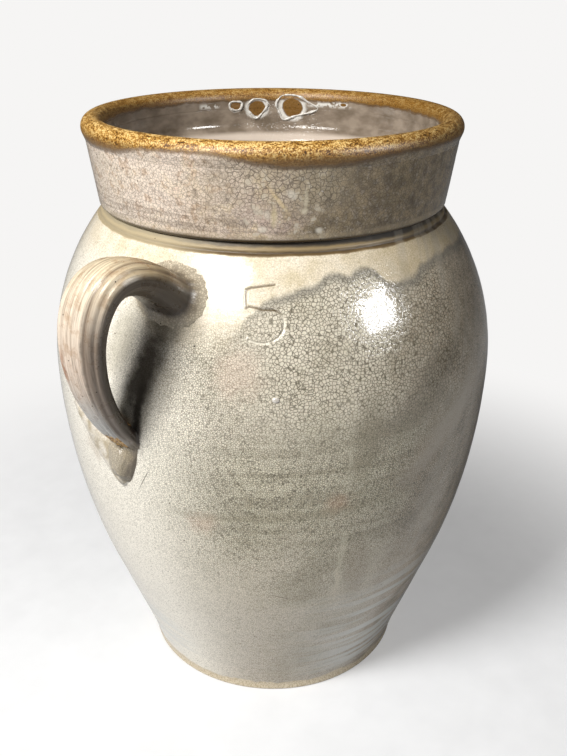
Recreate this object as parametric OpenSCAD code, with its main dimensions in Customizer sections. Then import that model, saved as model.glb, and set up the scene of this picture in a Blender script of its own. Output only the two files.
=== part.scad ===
// Stoneware crock: two thrown body sections, a collar, a rolled rim and two pulled loop handles.
// Millimetres, +Z up, the base centre at the origin, the handles on the X axis.

/* [Body] */
// Radius at which the straight lower wall would meet the table
foot_radius = 98.2; // [90:0.2:106]
// How far the toe of the foot stands out past that line
toe_width = 3; // [1:0.5:5]
// Height over which the toe fades into the wall
toe_height = 24; // [14:1:34]
// Outside radius at the widest ring
belly_radius = 159; // [150:0.5:168]
// Height of the widest ring
belly_height = 249; // [236:1:260]
// Radius of the curve between the straight lower wall and the widest ring
lower_curve = 455; // [380:5:500]
// Thickness of the thrown wall
wall = 10.5; // [8:0.5:13]
// Thickness of the floor
floor_thickness = 14; // [10:1:20]
// Radius of the round between floor and wall inside
floor_round = 18; // [8:1:30]
// Height of the joint between the two thrown sections
seam_height = 186; // [160:1:195]
// Height of the lip that laps inside the joint
seam_lap = 6; // [3:0.5:10]

/* [Collar] */
// Height of the collar and the rim together, above the land on which they stand
collar_height = 59; // [52:1:66]
// Inside radius of the mouth, through the rim and down to the lid ledge
mouth_radius = 113.5; // [106:0.5:122]
// Width of the lid ledge, from the mouth's wall in to the throat
ledge_width = 9.5; // [6:0.5:12]
// Thickness of the collar's wall at its foot, out from the throat
collar_wall = 16.2; // [14:0.2:19]
// Radius of the round along the collar's foot
collar_foot_round = 3.8; // [2:0.2:5]
// How much wider the collar's outside is under the rim than at its foot
collar_flare_width = 5.8; // [3:0.2:7]
// How far the lid ledge's inner edge lies below the rim's top
ledge_depth = 38; // [34:1:44]
// Fall of the ledge from the mouth's wall to its inner edge
ledge_fall = 9; // [5:0.5:14]
// How far the turned groove lies below the land
groove_drop = 6.5; // [5:0.5:12]
// Radius of the turned groove's round
groove_round = 2; // [1.5:0.25:4]
// Depth of the turned groove
groove_depth = 0.9; // [0.5:0.1:1.4]

/* [Rim] */
// Height of the whole crock
crock_height = 420; // [400:1:440]
// Height of the rolled rim
rim_height = 15; // [12:0.5:18]
// Thickness of the rolled rim, out from the mouth's wall
rim_width = 14.9; // [14:0.1:19]

/* [Handles] */
// Depth of the upper root below the collar's land
root_depth = 34; // [28:1:44]
// Height of the upper root above the place where the strap meets the wall again
loop_height = 90; // [80:1:100]
// Angle around the jar from the handle's middle to its upper root
root_angle = 4.3; // [0:0.1:10]
// Angle around the jar from the handle's middle to its lower end
foot_angle = -5.5; // [-9:0.1:0]
// Direction in which the loop stands out, from the handle's middle
loop_angle = -5; // [-14:0.5:0]
// Outward pull of the loop at its root
root_pull = 73; // [60:1:84]
// Upward pull of the loop at its root
root_rise = 72; // [54:1:82]
// Outward pull of the loop at its lower end
foot_pull = 54; // [48:1:68]
// Upward pull of the loop at its lower end
foot_rise = 60; // [50:1:72]
// Width of the strap at its root
root_width = 32; // [28:1:38]
// Width of the strap half way along the loop
middle_width = 34; // [30:1:40]
// Width of the strap at its lower end
foot_width = 23; // [16:1:28]
// Thickness of the strap at its root
root_thickness = 23; // [18:1:28]
// Thickness of the strap at its lower end
foot_thickness = 12.5; // [9:0.5:16]
// Number of finger ribs along the strap's outer face
rib_count = 6; // [2:1:8]
// Depth of the hollows between the ribs
rib_depth = 1.2; // [0.4:0.1:2]
// Length of the pressed tab below the strap
tab_length = 32; // [20:1:38]
// Width of the tab at its tip
tab_width = 11; // [8:1:18]
// Angle around the jar from the strap's lower end to the tab's tip
tab_angle = -2.5; // [-6:0.1:0]

/* [Hidden] */
$fn = 96;

far = 400;
neck_height = crock_height - collar_height;
throat_radius = mouth_radius - ledge_width;
collar_foot_radius = throat_radius + collar_wall;
collar_top_radius = collar_foot_radius + collar_flare_width;
neck_radius = collar_foot_radius - collar_foot_round;
rim_seat = crock_height - rim_height;
ledge_height = crock_height - ledge_depth;

// Lower wall: a straight line from the foot, tangent to an arc that ends at the widest ring
lower_run = belly_radius - foot_radius;
curve_limit = (belly_height * belly_height + lower_run * lower_run) / (2 * lower_run);
low_r = min(lower_curve, 0.97 * curve_limit);
low_x = belly_radius - low_r;
foot_dx = foot_radius - low_x;
lean = atan2(belly_height, foot_dx) - acos(low_r / norm([foot_dx, belly_height]));
tangent_height = belly_height - low_r * sin(lean);

// Shoulder: one arc from the widest ring to the outer edge of the land
shoulder_in = belly_radius - neck_radius;
shoulder_up = neck_height - belly_height;
high_r = (shoulder_in * shoulder_in + shoulder_up * shoulder_up) / (2 * shoulder_in);
high_x = belly_radius - high_r;

// Radius of the wall's outside at a height, or of its inside when d is the wall's thickness
function line_r(z, d = 0) = foot_radius + z * tan(lean) - d / cos(lean);
function arc_r(z, x, r) = x + sqrt(r * r - (z - belly_height) * (z - belly_height));
function wall_r(z, d = 0) =
    z < tangent_height ? line_r(z, d) :
    z < belly_height ? arc_r(z, low_x, low_r - d) :
    arc_r(z, high_x, high_r - d);

// Shoulder point and slope where the groove is turned
groove_height = neck_height - groove_drop;
groove_slope = asin((groove_height - belly_height) / high_r);
groove_lift = groove_round - groove_depth;

seam_middle = wall_r(seam_height, wall / 2);

// Half outline of the solid jar's outside below the land, with the wall's thickness taken off as d
module turned(d = 0) {
    bend = belly_height - (low_r - d) * sin(lean);
    polygon([[0, 0], [line_r(0, d), 0], [line_r(bend, d), bend], [0, bend]]);
    intersection() {
        translate([low_x, belly_height])
            circle(low_r - d);
        translate([0, bend])
            square([far, belly_height - bend]);
    }
    intersection() {
        translate([high_x, belly_height])
            circle(high_r - d);
        translate([0, belly_height])
            square([far, neck_height - belly_height]);
    }
}

module outside() {
    difference() {
        turned();
        translate([wall_r(groove_height), groove_height])
            rotate(groove_slope)
                translate([groove_lift, 0])
                    circle(groove_round);
    }
    polygon([
        [0, 0],
        [line_r(0) + toe_width, 0],
        [line_r(0) + toe_width, toe_height / 5],
        [line_r(toe_height), toe_height],
        [0, toe_height]
    ]);
}

// Half outline of the hollow: the offset wall, a rounded floor corner and the throat
module hollow() {
    corner_z = floor_thickness + floor_round;
    corner_x = line_r(corner_z, wall) - floor_round / cos(lean);
    difference() {
        turned(wall);
        square([far, corner_z]);
    }
    polygon([
        [0, floor_thickness],
        [corner_x, floor_thickness],
        [corner_x + floor_round * cos(lean), corner_z - floor_round * sin(lean)],
        [line_r(corner_z, wall), corner_z],
        [0, corner_z]
    ]);
    translate([corner_x, corner_z])
        circle(floor_round);
    translate([0, belly_height])
        square([throat_radius, neck_height - belly_height]);
}

// Everything below the joint: a lip that laps inside, a steep flank and an outer ledge
module below_seam() {
    flank = wall / 8;
    polygon([
        [0, -1],
        [far, -1],
        [far, seam_height],
        [seam_middle + flank, seam_height],
        [seam_middle - flank, seam_height + seam_lap],
        [0, seam_height + seam_lap]
    ]);
}

module lower_body() {
    color("#a59c8c")
        rotate_extrude()
            intersection() {
                difference() {
                    outside();
                    hollow();
                }
                below_seam();
            }
}

module upper_body() {
    color("#b7b0a2")
        rotate_extrude()
            difference() {
                outside();
                hollow();
                below_seam();
            }
}

module collar() {
    color("#a08f84")
        rotate_extrude() {
            polygon([
                [throat_radius, neck_height],
                [neck_radius, neck_height],
                [collar_foot_radius, neck_height + collar_foot_round],
                [collar_top_radius, rim_seat],
                [mouth_radius, rim_seat],
                [mouth_radius, ledge_height + ledge_fall],
                [throat_radius, ledge_height]
            ]);
            translate([neck_radius, neck_height + collar_foot_round])
                circle(collar_foot_round);
        }
}

// Rolled lip: a full round whose outer flank runs down to the collar's outside without a step
module rim() {
    roll = rim_width / 2;
    middle = [mouth_radius + roll, crock_height - roll];
    edge = [collar_top_radius, rim_seat];
    reach = edge - middle;
    touch = atan2(reach[1], reach[0]) + acos(min(1, roll / norm(reach)));
    flank = norm(reach) > roll ? [middle + roll * [cos(touch), sin(touch)]] : [];
    color("#b07a2c")
        rotate_extrude()
            intersection() {
                union() {
                    translate(middle)
                        circle(roll);
                    polygon(concat(
                        [[mouth_radius, rim_seat], edge],
                        flank,
                        [middle, [mouth_radius, middle[1]]]
                    ));
                }
                translate([0, rim_seat])
                    square([far, rim_height + 1]);
            }
}

// Handle path: a cubic curve for the loop, then one that lies down along the wall as the tab
root_height = neck_height - root_depth;
foot_height = root_height - loop_height;
stations = 30;
tab_share = 0.24;
ring = 40;

function mix(a, b, t) = a + (b - a) * t;
function through(a, m, b, t) = a * (1 - t) * (1 - 2 * t) + 4 * m * t * (1 - t) + b * t * (2 * t - 1);
function on_wall(angle, z, out) =
    [(wall_r(z) + out) * cos(angle), (wall_r(z) + out) * sin(angle), z];
function bezier(p, t) =
    pow(1 - t, 3) * p[0] + 3 * pow(1 - t, 2) * t * p[1] + 3 * (1 - t) * t * t * p[2] + t * t * t * p[3];

loop_out = [cos(loop_angle), sin(loop_angle), 0];
loop_side = [-sin(loop_angle), cos(loop_angle), 0];
root_point = on_wall(root_angle, root_height, -wall * 0.6);
foot_point = on_wall(foot_angle, foot_height, -1);
tip_height = foot_height - tab_length;
tip_point = on_wall(foot_angle + tab_angle, tip_height, -2);
loop_path = [
    root_point,
    root_point + root_pull * loop_out + [0, 0, root_rise],
    foot_point + foot_pull * loop_out + [0, 0, foot_rise],
    foot_point
];
settle = 0.14;
tab_path = [
    foot_point,
    foot_point - settle * (foot_pull * loop_out + [0, 0, foot_rise]),
    on_wall(foot_angle + 0.8 * tab_angle, mix(tip_height, foot_height, 0.4), -1),
    tip_point
];
function path(t) =
    t < 1 - tab_share ? bezier(loop_path, t / (1 - tab_share)) :
    bezier(tab_path, (t - 1 + tab_share) / tab_share);
function heading(t) =
    let (d = path(min(t + 0.01, 1)) - path(max(t - 0.01, 0))) d / norm(d);

// Strap size along the path: swollen at the root, flattened and pinched along the tab
function along(t) = min(t / (1 - tab_share), 1);
function down_tab(t) = max(0, (t - 1 + tab_share) / tab_share);
function swell(t) = 1 + 0.15 * exp(-t * 22);
function pinch(t) = pow(down_tab(t), 1.8);
function strap_width(t) =
    mix(through(root_width, middle_width, foot_width, along(t)) * swell(t), tab_width, pinch(t));
function strap_thickness(t) =
    mix(mix(root_thickness, foot_thickness, along(t)) * swell(t), foot_thickness * 0.7, down_tab(t));

// Section point at angle a: a rounded strap whose outer face carries the finger ribs
function hollow_between(a, t) =
    cos(a) < 0 ? 0 :
    rib_depth * cos(a) * (1 - down_tab(t)) * (0.5 - 0.5 * cos(180 * rib_count * (1 + sin(a))));
function strap_point(a, t) =
    let (
        tangent = heading(t),
        out = cross(tangent, loop_side) / norm(cross(tangent, loop_side)),
        side = cross(tangent, out),
        squared = pow(pow(abs(cos(a)), 2.5) + pow(abs(sin(a)), 2.5), -0.4)
    )
    path(t)
    + out * (strap_thickness(t) / 2 * squared * cos(a) - hollow_between(a, t))
    + side * (strap_width(t) / 2 * squared * sin(a));

module strap() {
    points = [for (i = [0:stations], j = [0:ring - 1]) strap_point(360 * j / ring, i / stations)];
    sides = [
        for (i = [0:stations - 1], j = [0:ring - 1])
            let (
                a = i * ring + j,
                b = i * ring + (j + 1) % ring,
                c = b + ring,
                d = a + ring
            )
            each [[a, b, c], [a, c, d]]
    ];
    ends = [
        [for (j = [0:ring - 1]) ring - 1 - j],
        [for (j = [0:ring - 1]) stations * ring + j]
    ];
    polyhedron(points, concat(sides, ends), 10);
}

// One handle on +X, its ends cut to the wall they are luted to
module handle() {
    difference() {
        strap();
        rotate_extrude()
            outside();
    }
}

module handle_near() {
    color("#9c8672")
        rotate([0, 0, 180])
            handle();
}

module handle_far() {
    color("#9c8672")
        handle();
}

lower_body();
upper_body();
collar();
rim();
handle_near();
handle_far();
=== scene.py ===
# %% [markdown]
# # A thrown stoneware crock
# The real jar was thrown on a wheel in two sections, given a collar and a rolled rim, and fitted with two
# pulled handles before it was glazed and fired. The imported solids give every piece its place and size. This
# lesson builds a finer skin for each of them in the same frame, with the marks of the potter's hand, and
# then makes the glazes.

# %% Load the frame
import math
import bpy
import bmesh
from mathutils import Matrix, Vector


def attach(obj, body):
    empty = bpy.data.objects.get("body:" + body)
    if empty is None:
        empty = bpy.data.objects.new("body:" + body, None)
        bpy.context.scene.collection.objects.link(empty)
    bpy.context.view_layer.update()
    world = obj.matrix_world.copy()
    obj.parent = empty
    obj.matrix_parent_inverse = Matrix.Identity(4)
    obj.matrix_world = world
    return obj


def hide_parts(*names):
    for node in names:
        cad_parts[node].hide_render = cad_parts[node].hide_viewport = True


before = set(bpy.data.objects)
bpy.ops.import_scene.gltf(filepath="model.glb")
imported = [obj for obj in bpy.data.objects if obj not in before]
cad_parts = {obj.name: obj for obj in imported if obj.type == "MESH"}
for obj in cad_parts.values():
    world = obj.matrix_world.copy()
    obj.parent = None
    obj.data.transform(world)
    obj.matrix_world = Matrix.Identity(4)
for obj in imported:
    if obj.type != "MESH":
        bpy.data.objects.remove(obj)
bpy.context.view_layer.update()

# %% [markdown]
# ## The wall's curve
# A thrown wall is a curve turned about the wheel's axis: a straight lower wall, a long curve up to the
# widest ring and a rounder shoulder. The same few sizes that drive the solids are written here, so that
# both agree, and one function gives the wall's radius at any height. Everything that sits on the wall asks
# it.

# %% Sizes of the body, in metres
MM = 0.001
foot_radius, toe_width, toe_height = 98.2 * MM, 3 * MM, 24 * MM
belly_radius, belly_height, lower_curve = 159 * MM, 249 * MM, 455 * MM
wall, floor_thickness, floor_round = 10.5 * MM, 14 * MM, 18 * MM
seam_height, seam_lap = 186 * MM, 6 * MM
neck_height, neck_radius, throat_radius = 361 * MM, 116.4 * MM, 104 * MM

low_x = belly_radius - lower_curve
lean = math.atan2(belly_height, foot_radius - low_x) - math.acos(
    lower_curve / math.hypot(foot_radius - low_x, belly_height))
shoulder_in, shoulder_up = belly_radius - neck_radius, neck_height - belly_height
shoulder_curve = (shoulder_in ** 2 + shoulder_up ** 2) / (2 * shoulder_in)
shoulder_x = belly_radius - shoulder_curve


def wall_r(z, inwards=0.0):
    """Radius of the wall's outside at height z, or of its inside when the wall's thickness is taken off."""
    if z < belly_height - (lower_curve - inwards) * math.sin(lean):
        return foot_radius + z * math.tan(lean) - inwards / math.cos(lean)
    if z < belly_height:
        return low_x + math.sqrt((lower_curve - inwards) ** 2 - (z - belly_height) ** 2)
    return shoulder_x + math.sqrt((shoulder_curve - inwards) ** 2 - (z - belly_height) ** 2)


print("lean %.1f degrees, shoulder radius %.1f mm" % (math.degrees(lean), shoulder_curve / MM))

# %% [markdown]
# ## One helper for every node
# Both the shapes and the glazes are node trees. A single function adds a node, sets it up and wires it,
# which keeps the trees short enough to read. It works in the tree that was begun last, and takes the inputs
# in the order of the sockets, or by name where only a few are set. Colours are written as the hex values
# that a colour picker shows and turned into the linear values that the renderer works in.

# %% Node and colour helpers
MATH, VECTOR, RANGE, MIX = "ShaderNodeMath", "ShaderNodeVectorMath", "ShaderNodeMapRange", "ShaderNodeMix"
NOISE, CELLS, RAMP, CURVE = ("ShaderNodeTexNoise", "ShaderNodeTexVoronoi", "ShaderNodeValToRGB",
    "ShaderNodeFloatCurve")
SPLIT, JOIN = "ShaderNodeSeparateXYZ", "ShaderNodeCombineXYZ"
TIMES, MINUS, OVER, TIMES_PLUS = (
    (MATH, {"operation": name}) for name in ("MULTIPLY", "SUBTRACT", "DIVIDE", "MULTIPLY_ADD"))
EASED = (RANGE, {"interpolation_type": "SMOOTHSTEP"})
trees = []      # every tree begun so far; the last one is in work


def hue(code):
    """Linear colour of an sRGB hex code."""
    parts = [int(code[i:i + 2], 16) / 255 for i in (1, 3, 5)]
    return [p / 12.92 if p <= 0.04045 else ((p + 0.055) / 1.055) ** 2.4 for p in parts] + [1.0]


def add(kind, *values, out=0, stops=None, **settings):
    """Adds one node to the tree in work, sets it up, fills its inputs and returns one output."""
    tree = trees[-1]
    kind, preset = kind if isinstance(kind, tuple) else (kind, {})
    node = tree.nodes.new(kind)
    for name, value in {**preset, **settings}.items():
        setattr(node, name, value)
    if stops and kind == CURVE:
        points = node.mapping.curves[0].points
        while len(points) < len(stops):
            points.new(0.5, 0.5)
        for point, (x, y) in zip(points, stops):
            point.location = (x, y)
        node.mapping.update()
    elif stops:
        elements = node.color_ramp.elements
        while len(elements) < len(stops):
            elements.new(0.5)
        for element, (x, code) in zip(elements, stops):
            element.position, element.color = x, hue(code)
    inputs = values[0] if values and isinstance(values[0], dict) else dict(enumerate(values))
    for socket, value in inputs.items():
        if isinstance(value, bpy.types.NodeSocket):
            tree.links.new(value, node.inputs[socket])
        else:
            node.inputs[socket].default_value = value
    return node.outputs[out] if len(node.outputs) else None


# %% [markdown]
# ## A tree that throws a section
# Every body piece is a profile turned about the axis, so one Geometry Nodes tree makes them all. It lays
# out a flat grid, reads each row's radius and height from the profile and rolls the grid up. The columns
# crowd together at the front, where the incised numeral needs them. Then come the potter's traces: a slow
# wobble, the fine rings left by the fingers, and any line scratched into the wet clay.

# %% Tree: thrown section
def new_tree(name, inputs):
    """Begins a tree with these inputs, and gives the sockets that bring them in."""
    tree = bpy.data.node_groups.new(name, "GeometryNodeTree")
    tree.interface.new_socket("Geometry", in_out="OUTPUT", socket_type="NodeSocketGeometry")
    for label, kind in inputs:
        tree.interface.new_socket(label, in_out="INPUT", socket_type="NodeSocket" + kind)
    trees.append(tree)
    return tree, add("NodeGroupInput").node.outputs


def end_tree(geometry, finish):
    """Closes a tree with real geometry, smooth shading and a finish."""
    whole = add("GeometryNodeRealizeInstances", geometry)
    smooth = add("GeometryNodeSetShadeSmooth", whole)
    coated = add("GeometryNodeSetMaterial", {"Geometry": smooth, "Material": finish})
    add("NodeGroupOutput", coated)


def rolled_grid(profile, columns):
    """A grid with one row for each profile point, each vertex's place across it and its row."""
    rows = add("GeometryNodeAttributeDomainSize", profile, component="MESH")
    sheet = add("GeometryNodeMeshGrid", {"Size X": 1.0, "Size Y": 1.0, "Vertices Y": rows,
        "Vertices X": add(MATH, columns, 1.0)})
    flat = add(SPLIT, add("GeometryNodeInputPosition")).node.outputs
    last = add(MINUS, rows, 1.0)
    up = add(MATH, flat["Y"], 0.5)
    row = add(MATH, add(TIMES, up, last), operation="ROUND")
    return sheet, flat["X"], row


throwing, given = new_tree("thrown_section", [("Profile", "Geometry"), ("Columns", "Int"),
    ("Front", "Float"), ("Crowding", "Float"), ("Wobble", "Float"), ("Ring depth", "Float"),
    ("Marks", "Object"), ("Mark reach", "Float"), ("Mark depth", "Float"), ("Finish", "Material")])
sheet, across, row = rolled_grid(given["Profile"], given["Columns"])
place = add("GeometryNodeInputPosition")
half_turn = add(TIMES, across, 2.0)
far_turn = add(MATH, half_turn, 5.0, operation="POWER")
near_turn = add(MINUS, half_turn, far_turn)
crowded = add(TIMES_PLUS, near_turn, given["Crowding"], far_turn)
angle = add(TIMES_PLUS, crowded, math.pi, given["Front"])
ring = add(SPLIT, add("GeometryNodeSampleIndex", {"Geometry": given["Profile"], "Value": place,
    "Index": row}, data_type="FLOAT_VECTOR")).node.outputs
back = add(TIMES, ring["X"], -1.0)
sine, cosine = (add(MATH, angle, operation=kind) for kind in ("SINE", "COSINE"))
turned = add(JOIN, add(TIMES, ring["X"], sine), add(TIMES, back, cosine), ring["Z"])
thrown = add("GeometryNodeSetPosition", {"Geometry": sheet, "Position": turned})
thrown = add("GeometryNodeMergeByDistance", {"Geometry": thrown, "Distance": 1e-5})

# %% Tree: the potter's traces on that section
slow = add(NOISE, {"Vector": place, "Scale": 6.0, "Detail": 1.0})
slow = add(RANGE, slow, 0.0, 1.0, -1.0, 1.0)
fine = add(VECTOR, place, (7.0, 7.0, 105.0), operation="MULTIPLY")
fine = add(NOISE, {"Vector": fine, "Scale": 1.0, "Detail": 2.0})
fine = add(RANGE, fine, 0.0, 1.0, -1.0, 1.0)
fine = add(TIMES, fine, given["Ring depth"])
swing = add(TIMES_PLUS, slow, given["Wobble"], fine)
level = add(VECTOR, place, (1.0, 1.0, 0.0), operation="MULTIPLY")
outwards = add(VECTOR, level, operation="NORMALIZE")
marks = add("GeometryNodeObjectInfo", {"Object": given["Marks"]}, out="Geometry")
gap = add("GeometryNodeProximity", marks, out=1, target_element="EDGES")
gap = add(MATH, add(OVER, gap, given["Mark reach"]), 1.0, operation="MINIMUM")
cut = add(CURVE, {"Value": gap}, stops=[(0, 0.0), (0.12, 0.1), (0.3, 0.62), (0.42, 0.92), (0.6, 0.8),
    (1, 0.7)])
cut = add(RANGE, cut, 0.0, 0.7, -1.0, 0.0, clamp=False)
cut = add(TIMES, cut, given["Mark depth"])
moved = add(VECTOR, {0: outwards, "Scale": swing}, operation="SCALE")
carved = add(VECTOR, {0: add("GeometryNodeInputNormal"), "Scale": cut}, operation="SCALE")
drawn = add(MATH, given["Mark depth"], 0.0, operation="GREATER_THAN")
drawn = add(TIMES, add(RANGE, gap, 0.3, 0.08), drawn)
thrown = add("GeometryNodeStoreNamedAttribute", {"Geometry": thrown, "Name": "incised", "Value": drawn},
    data_type="FLOAT", domain="POINT")
offset = add(VECTOR, moved, carved)
thrown = add("GeometryNodeSetPosition", {"Geometry": thrown, "Offset": offset})
end_tree(thrown, given["Finish"])
print("thrown_section:", len(throwing.nodes), "nodes")


# %% Helpers: profiles in, plain meshes out
def polyline(name, points, closed=False, **lanes):
    """A mesh of edges through the points, with named values on them, as the input of a tree."""
    count = len(points)
    edges = [(i, i + 1) for i in range(count - 1)] + ([(count - 1, 0)] if closed else [])
    mesh = bpy.data.meshes.new(name)
    mesh.from_pydata([tuple(p) for p in points], edges, [])
    for lane, values in lanes.items():
        vector = hasattr(values[0], "__len__")
        slot = mesh.attributes.new(lane, "FLOAT_VECTOR" if vector else "FLOAT", "POINT")
        flat = [c for v in values for c in v] if vector else list(values)
        slot.data.foreach_set("vector" if vector else "value", flat)
    return mesh


def grow(name, tree, source, sizes):
    """Runs a tree on a source mesh and keeps the result as a plain mesh object, facing outwards."""
    maker = bpy.data.objects.new(name + "_maker", source)
    bpy.context.scene.collection.objects.link(maker)
    step = maker.modifiers.new(tree.name, "NODES")
    step.node_group = tree
    for item in tree.interface.items_tree:
        if item.in_out == "INPUT" and item.name in sizes:
            step[item.identifier] = sizes[item.name]
    ready = maker.evaluated_get(bpy.context.evaluated_depsgraph_get())
    mesh = bpy.data.meshes.new_from_object(ready)
    bpy.data.objects.remove(maker)
    made = bmesh.new()
    made.from_mesh(mesh)
    if made.calc_volume(signed=True) < 0:
        bmesh.ops.reverse_faces(made, faces=made.faces)
        made.to_mesh(mesh)
    open_edges = sum(1 for e in made.edges if not e.is_manifold)
    print("%s: %d faces, %.3f litres, %d open edges" % (name, len(made.faces), made.calc_volume() * 1000,
        open_edges))
    made.free()
    mesh.name = name
    piece = bpy.data.objects.new(name, mesh)
    bpy.context.scene.collection.objects.link(piece)
    return piece


def dress(piece, node):
    """The finished piece rides on the jar, and its solid is hidden."""
    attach(piece, "root")
    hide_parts(node)


# %% [markdown]
# ## The lower section
# The potter centres a lump, opens it to the floor's thickness and pulls the wall up to the joint. The
# profile starts at the middle of the base, goes round the foot and up the outside, over the joint's lip and
# down the inside to the floor's middle. Every corner gets a small round, because wet clay and melted glaze
# never keep a sharp edge.

# %% Profile helpers
def between(a, b, count):
    """Evenly spaced values from a to b."""
    return [a + (b - a) * i / (count - 1) for i in range(count)]


def rounded(corners, gap):
    """Points along straight edges, with each corner (r, z, round) eased and no step longer than the gap."""
    eased = [Vector(corners[0][:2])]
    for before, here, after in zip(corners, corners[1:], corners[2:]):
        p, size = Vector(here[:2]), here[2]
        a, b = (Vector(before[:2]) - p), (Vector(after[:2]) - p)
        size = min(size, a.length * 0.45, b.length * 0.45)
        start, end = p + a.normalized() * size, p + b.normalized() * size
        shares = (0, 0.25, 0.5, 0.75, 1) if size > 0 else (0,)
        eased += [start.lerp(p, t).lerp(p.lerp(end, t), t) for t in shares]
    eased.append(Vector(corners[-1][:2]))
    points = [eased[0]]
    for a, b in zip(eased, eased[1:]):
        steps = max(1, math.ceil((b - a).length / gap))
        points += [a.lerp(b, (i + 1) / steps) for i in range(steps) if (b - a).length > 1e-7]
    return [(p.x, 0.0, p.y) for p in points]


# %% Lower section
front = math.radians(-60)          # the jar's face that carries the numeral
crowd_turn = math.radians(-61)     # where the columns stand closest
traces = {"Columns": 288, "Front": crowd_turn, "Crowding": 0.16, "Wobble": 0.45 * MM, "Ring depth": 0.16 * MM,
          "Mark reach": 3 * MM, "Mark depth": 0.0}
seam_middle, seam_flank = wall_r(seam_height, wall / 2), wall / 8
floor_corner = floor_thickness + floor_round
corner_x = wall_r(floor_corner, wall) - floor_round / math.cos(lean)
toe_r = foot_radius + toe_width


def foot_r(z):
    """Radius of the outside with the toe that spreads around the foot."""
    if z >= toe_height:
        return wall_r(z)
    slope = (wall_r(toe_height) - toe_r) * max(0, z - toe_height / 5) / (toe_height * 0.8)
    return max(wall_r(z), toe_r + slope)


outer = [(foot_r(z), z, 0) for z in between(5 * MM, seam_height - 2 * MM, 110)]
inner = [(wall_r(z, wall), z, 0) for z in between(seam_height + seam_lap - 3 * MM, floor_corner, 34)]
bowl = [(corner_x + floor_round * math.cos(a), floor_corner - floor_round * math.sin(a), 0)
        for a in between(lean, math.pi / 2, 9)]
lower_profile = rounded(
    [(0, 0, 0), (toe_r, 0, 2.2 * MM)] + outer
    + [(wall_r(seam_height), seam_height, 0.1 * MM), (seam_middle + seam_flank, seam_height, 0.5 * MM),
       (seam_middle - seam_flank, seam_height + seam_lap, 0.8 * MM),
       (wall_r(seam_height + seam_lap, wall), seam_height + seam_lap, 0.8 * MM)]
    + inner + bowl + [(0, floor_thickness, 0)], 12 * MM)
ash_glaze = bpy.data.materials.new("crazed_ash_glaze")
lower_body = grow("lower_body_skin", throwing, polyline("lower_profile", lower_profile),
    {**traces, "Finish": ash_glaze})
dress(lower_body, "lower_body")

# %% [markdown]
# ## The upper section and its numeral
# The second section carries the shoulder, a turned groove under the collar and the capacity mark that was
# scratched into the leather-hard clay with a point. The mark is a plain 5, drawn here as two open strokes
# laid on the wall. The tree measures every vertex's distance to the strokes and sinks a line with a small
# burr on both sides, as a point pushed through clay leaves it. The rows are close together only where the
# mark is.

# %% Numeral strokes
# The turn is in degrees from the front, the foot is its lowest line, the width is in degrees
numeral_turn, numeral_foot = -5.9, 310 * MM
numeral_width, numeral_height = 9.3, 30.5 * MM
strokes = [[(0.76, 1.0), (0.45, 0.975), (0.12, 0.945), (0.0, 0.91), (-0.01, 0.78), (0.02, 0.6),
    (0.09, 0.63), (0.3, 0.61), (0.42, 0.585), (0.6, 0.582), (0.75, 0.578), (0.88, 0.53), (0.97, 0.44),
    (1.0, 0.37), (0.985, 0.26), (0.93, 0.18), (0.83, 0.1), (0.7, 0.045)], [(0.6, 0.012), (0.48, 0.0),
    (0.3, 0.01), (0.12, 0.05)]]


def on_wall(turn, z, out=0.0):
    """Point on the wall at an angle from the front, in degrees, and a height."""
    a = front + math.radians(turn)
    return ((wall_r(z) + out) * math.sin(a), -(wall_r(z) + out) * math.cos(a), z)


mark_mesh = bpy.data.meshes.new("numeral_strokes")
mark_points, mark_edges = [], []
for stroke in strokes:
    dense = [Vector(a).lerp(Vector(b), i / 6) for a, b in zip(stroke, stroke[1:]) for i in range(6)]
    dense.append(Vector(stroke[-1]))
    mark_edges += [(len(mark_points) + i, len(mark_points) + i + 1) for i in range(len(dense) - 1)]
    mark_points += [on_wall(numeral_turn + numeral_width * p.x,
        numeral_foot + numeral_height * p.y) for p in dense]
mark_mesh.from_pydata(mark_points, mark_edges, [])
numeral = bpy.data.objects.new("numeral_strokes", mark_mesh)
bpy.context.scene.collection.objects.link(numeral)
print("numeral:", len(mark_points), "points")

# %% Upper section
groove_height, groove_depth, groove_reach = 356 * MM, 0.9 * MM, 2 * MM


def shoulder_point(z):
    """Outside of the shoulder with the turned groove taken off along the wall's slope."""
    tilt = math.asin((z - belly_height) / shoulder_curve)
    s = (z - groove_height) / math.cos(tilt)
    sink = groove_depth * math.cos(math.pi * s / (2 * groove_reach)) ** 2 if abs(s) < groove_reach else 0.0
    return (wall_r(z) - sink * math.cos(tilt), z - sink * math.sin(tilt), 0)


heights = (between(seam_height + 1.8 * MM, 302 * MM, 72) + between(302.3 * MM, 344 * MM, 138)
           + between(344.8 * MM, 353 * MM, 9) + between(353.5 * MM, 358.5 * MM, 17)
           + between(359 * MM, neck_height - 0.8 * MM, 4))
outer = [(wall_r(z), z, 0) if z < belly_height else shoulder_point(z) for z in heights]
inner = [(max(wall_r(z, wall), throat_radius), z, 0) for z in between(neck_height - 6 * MM,
    seam_height + seam_lap + 2 * MM, 30)]
upper_profile = rounded(
    [(seam_middle - seam_flank, seam_height + seam_lap, 0), (seam_middle + seam_flank, seam_height, 0.5 * MM),
     (wall_r(seam_height), seam_height, 0.1 * MM)] + outer
    + [(neck_radius, neck_height, 0.8 * MM), (throat_radius, neck_height, 0.8 * MM)] + inner
    + [(wall_r(seam_height + seam_lap, wall), seam_height + seam_lap, 0.8 * MM),
       (seam_middle - seam_flank, seam_height + seam_lap, 0)], 8 * MM)
upper_body = grow("upper_body_skin", throwing, polyline("upper_profile", upper_profile), {
    **traces, "Marks": numeral, "Mark depth": 0.75 * MM, "Finish": ash_glaze})
bpy.data.objects.remove(numeral)
dress(upper_body, "upper_body")

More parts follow.
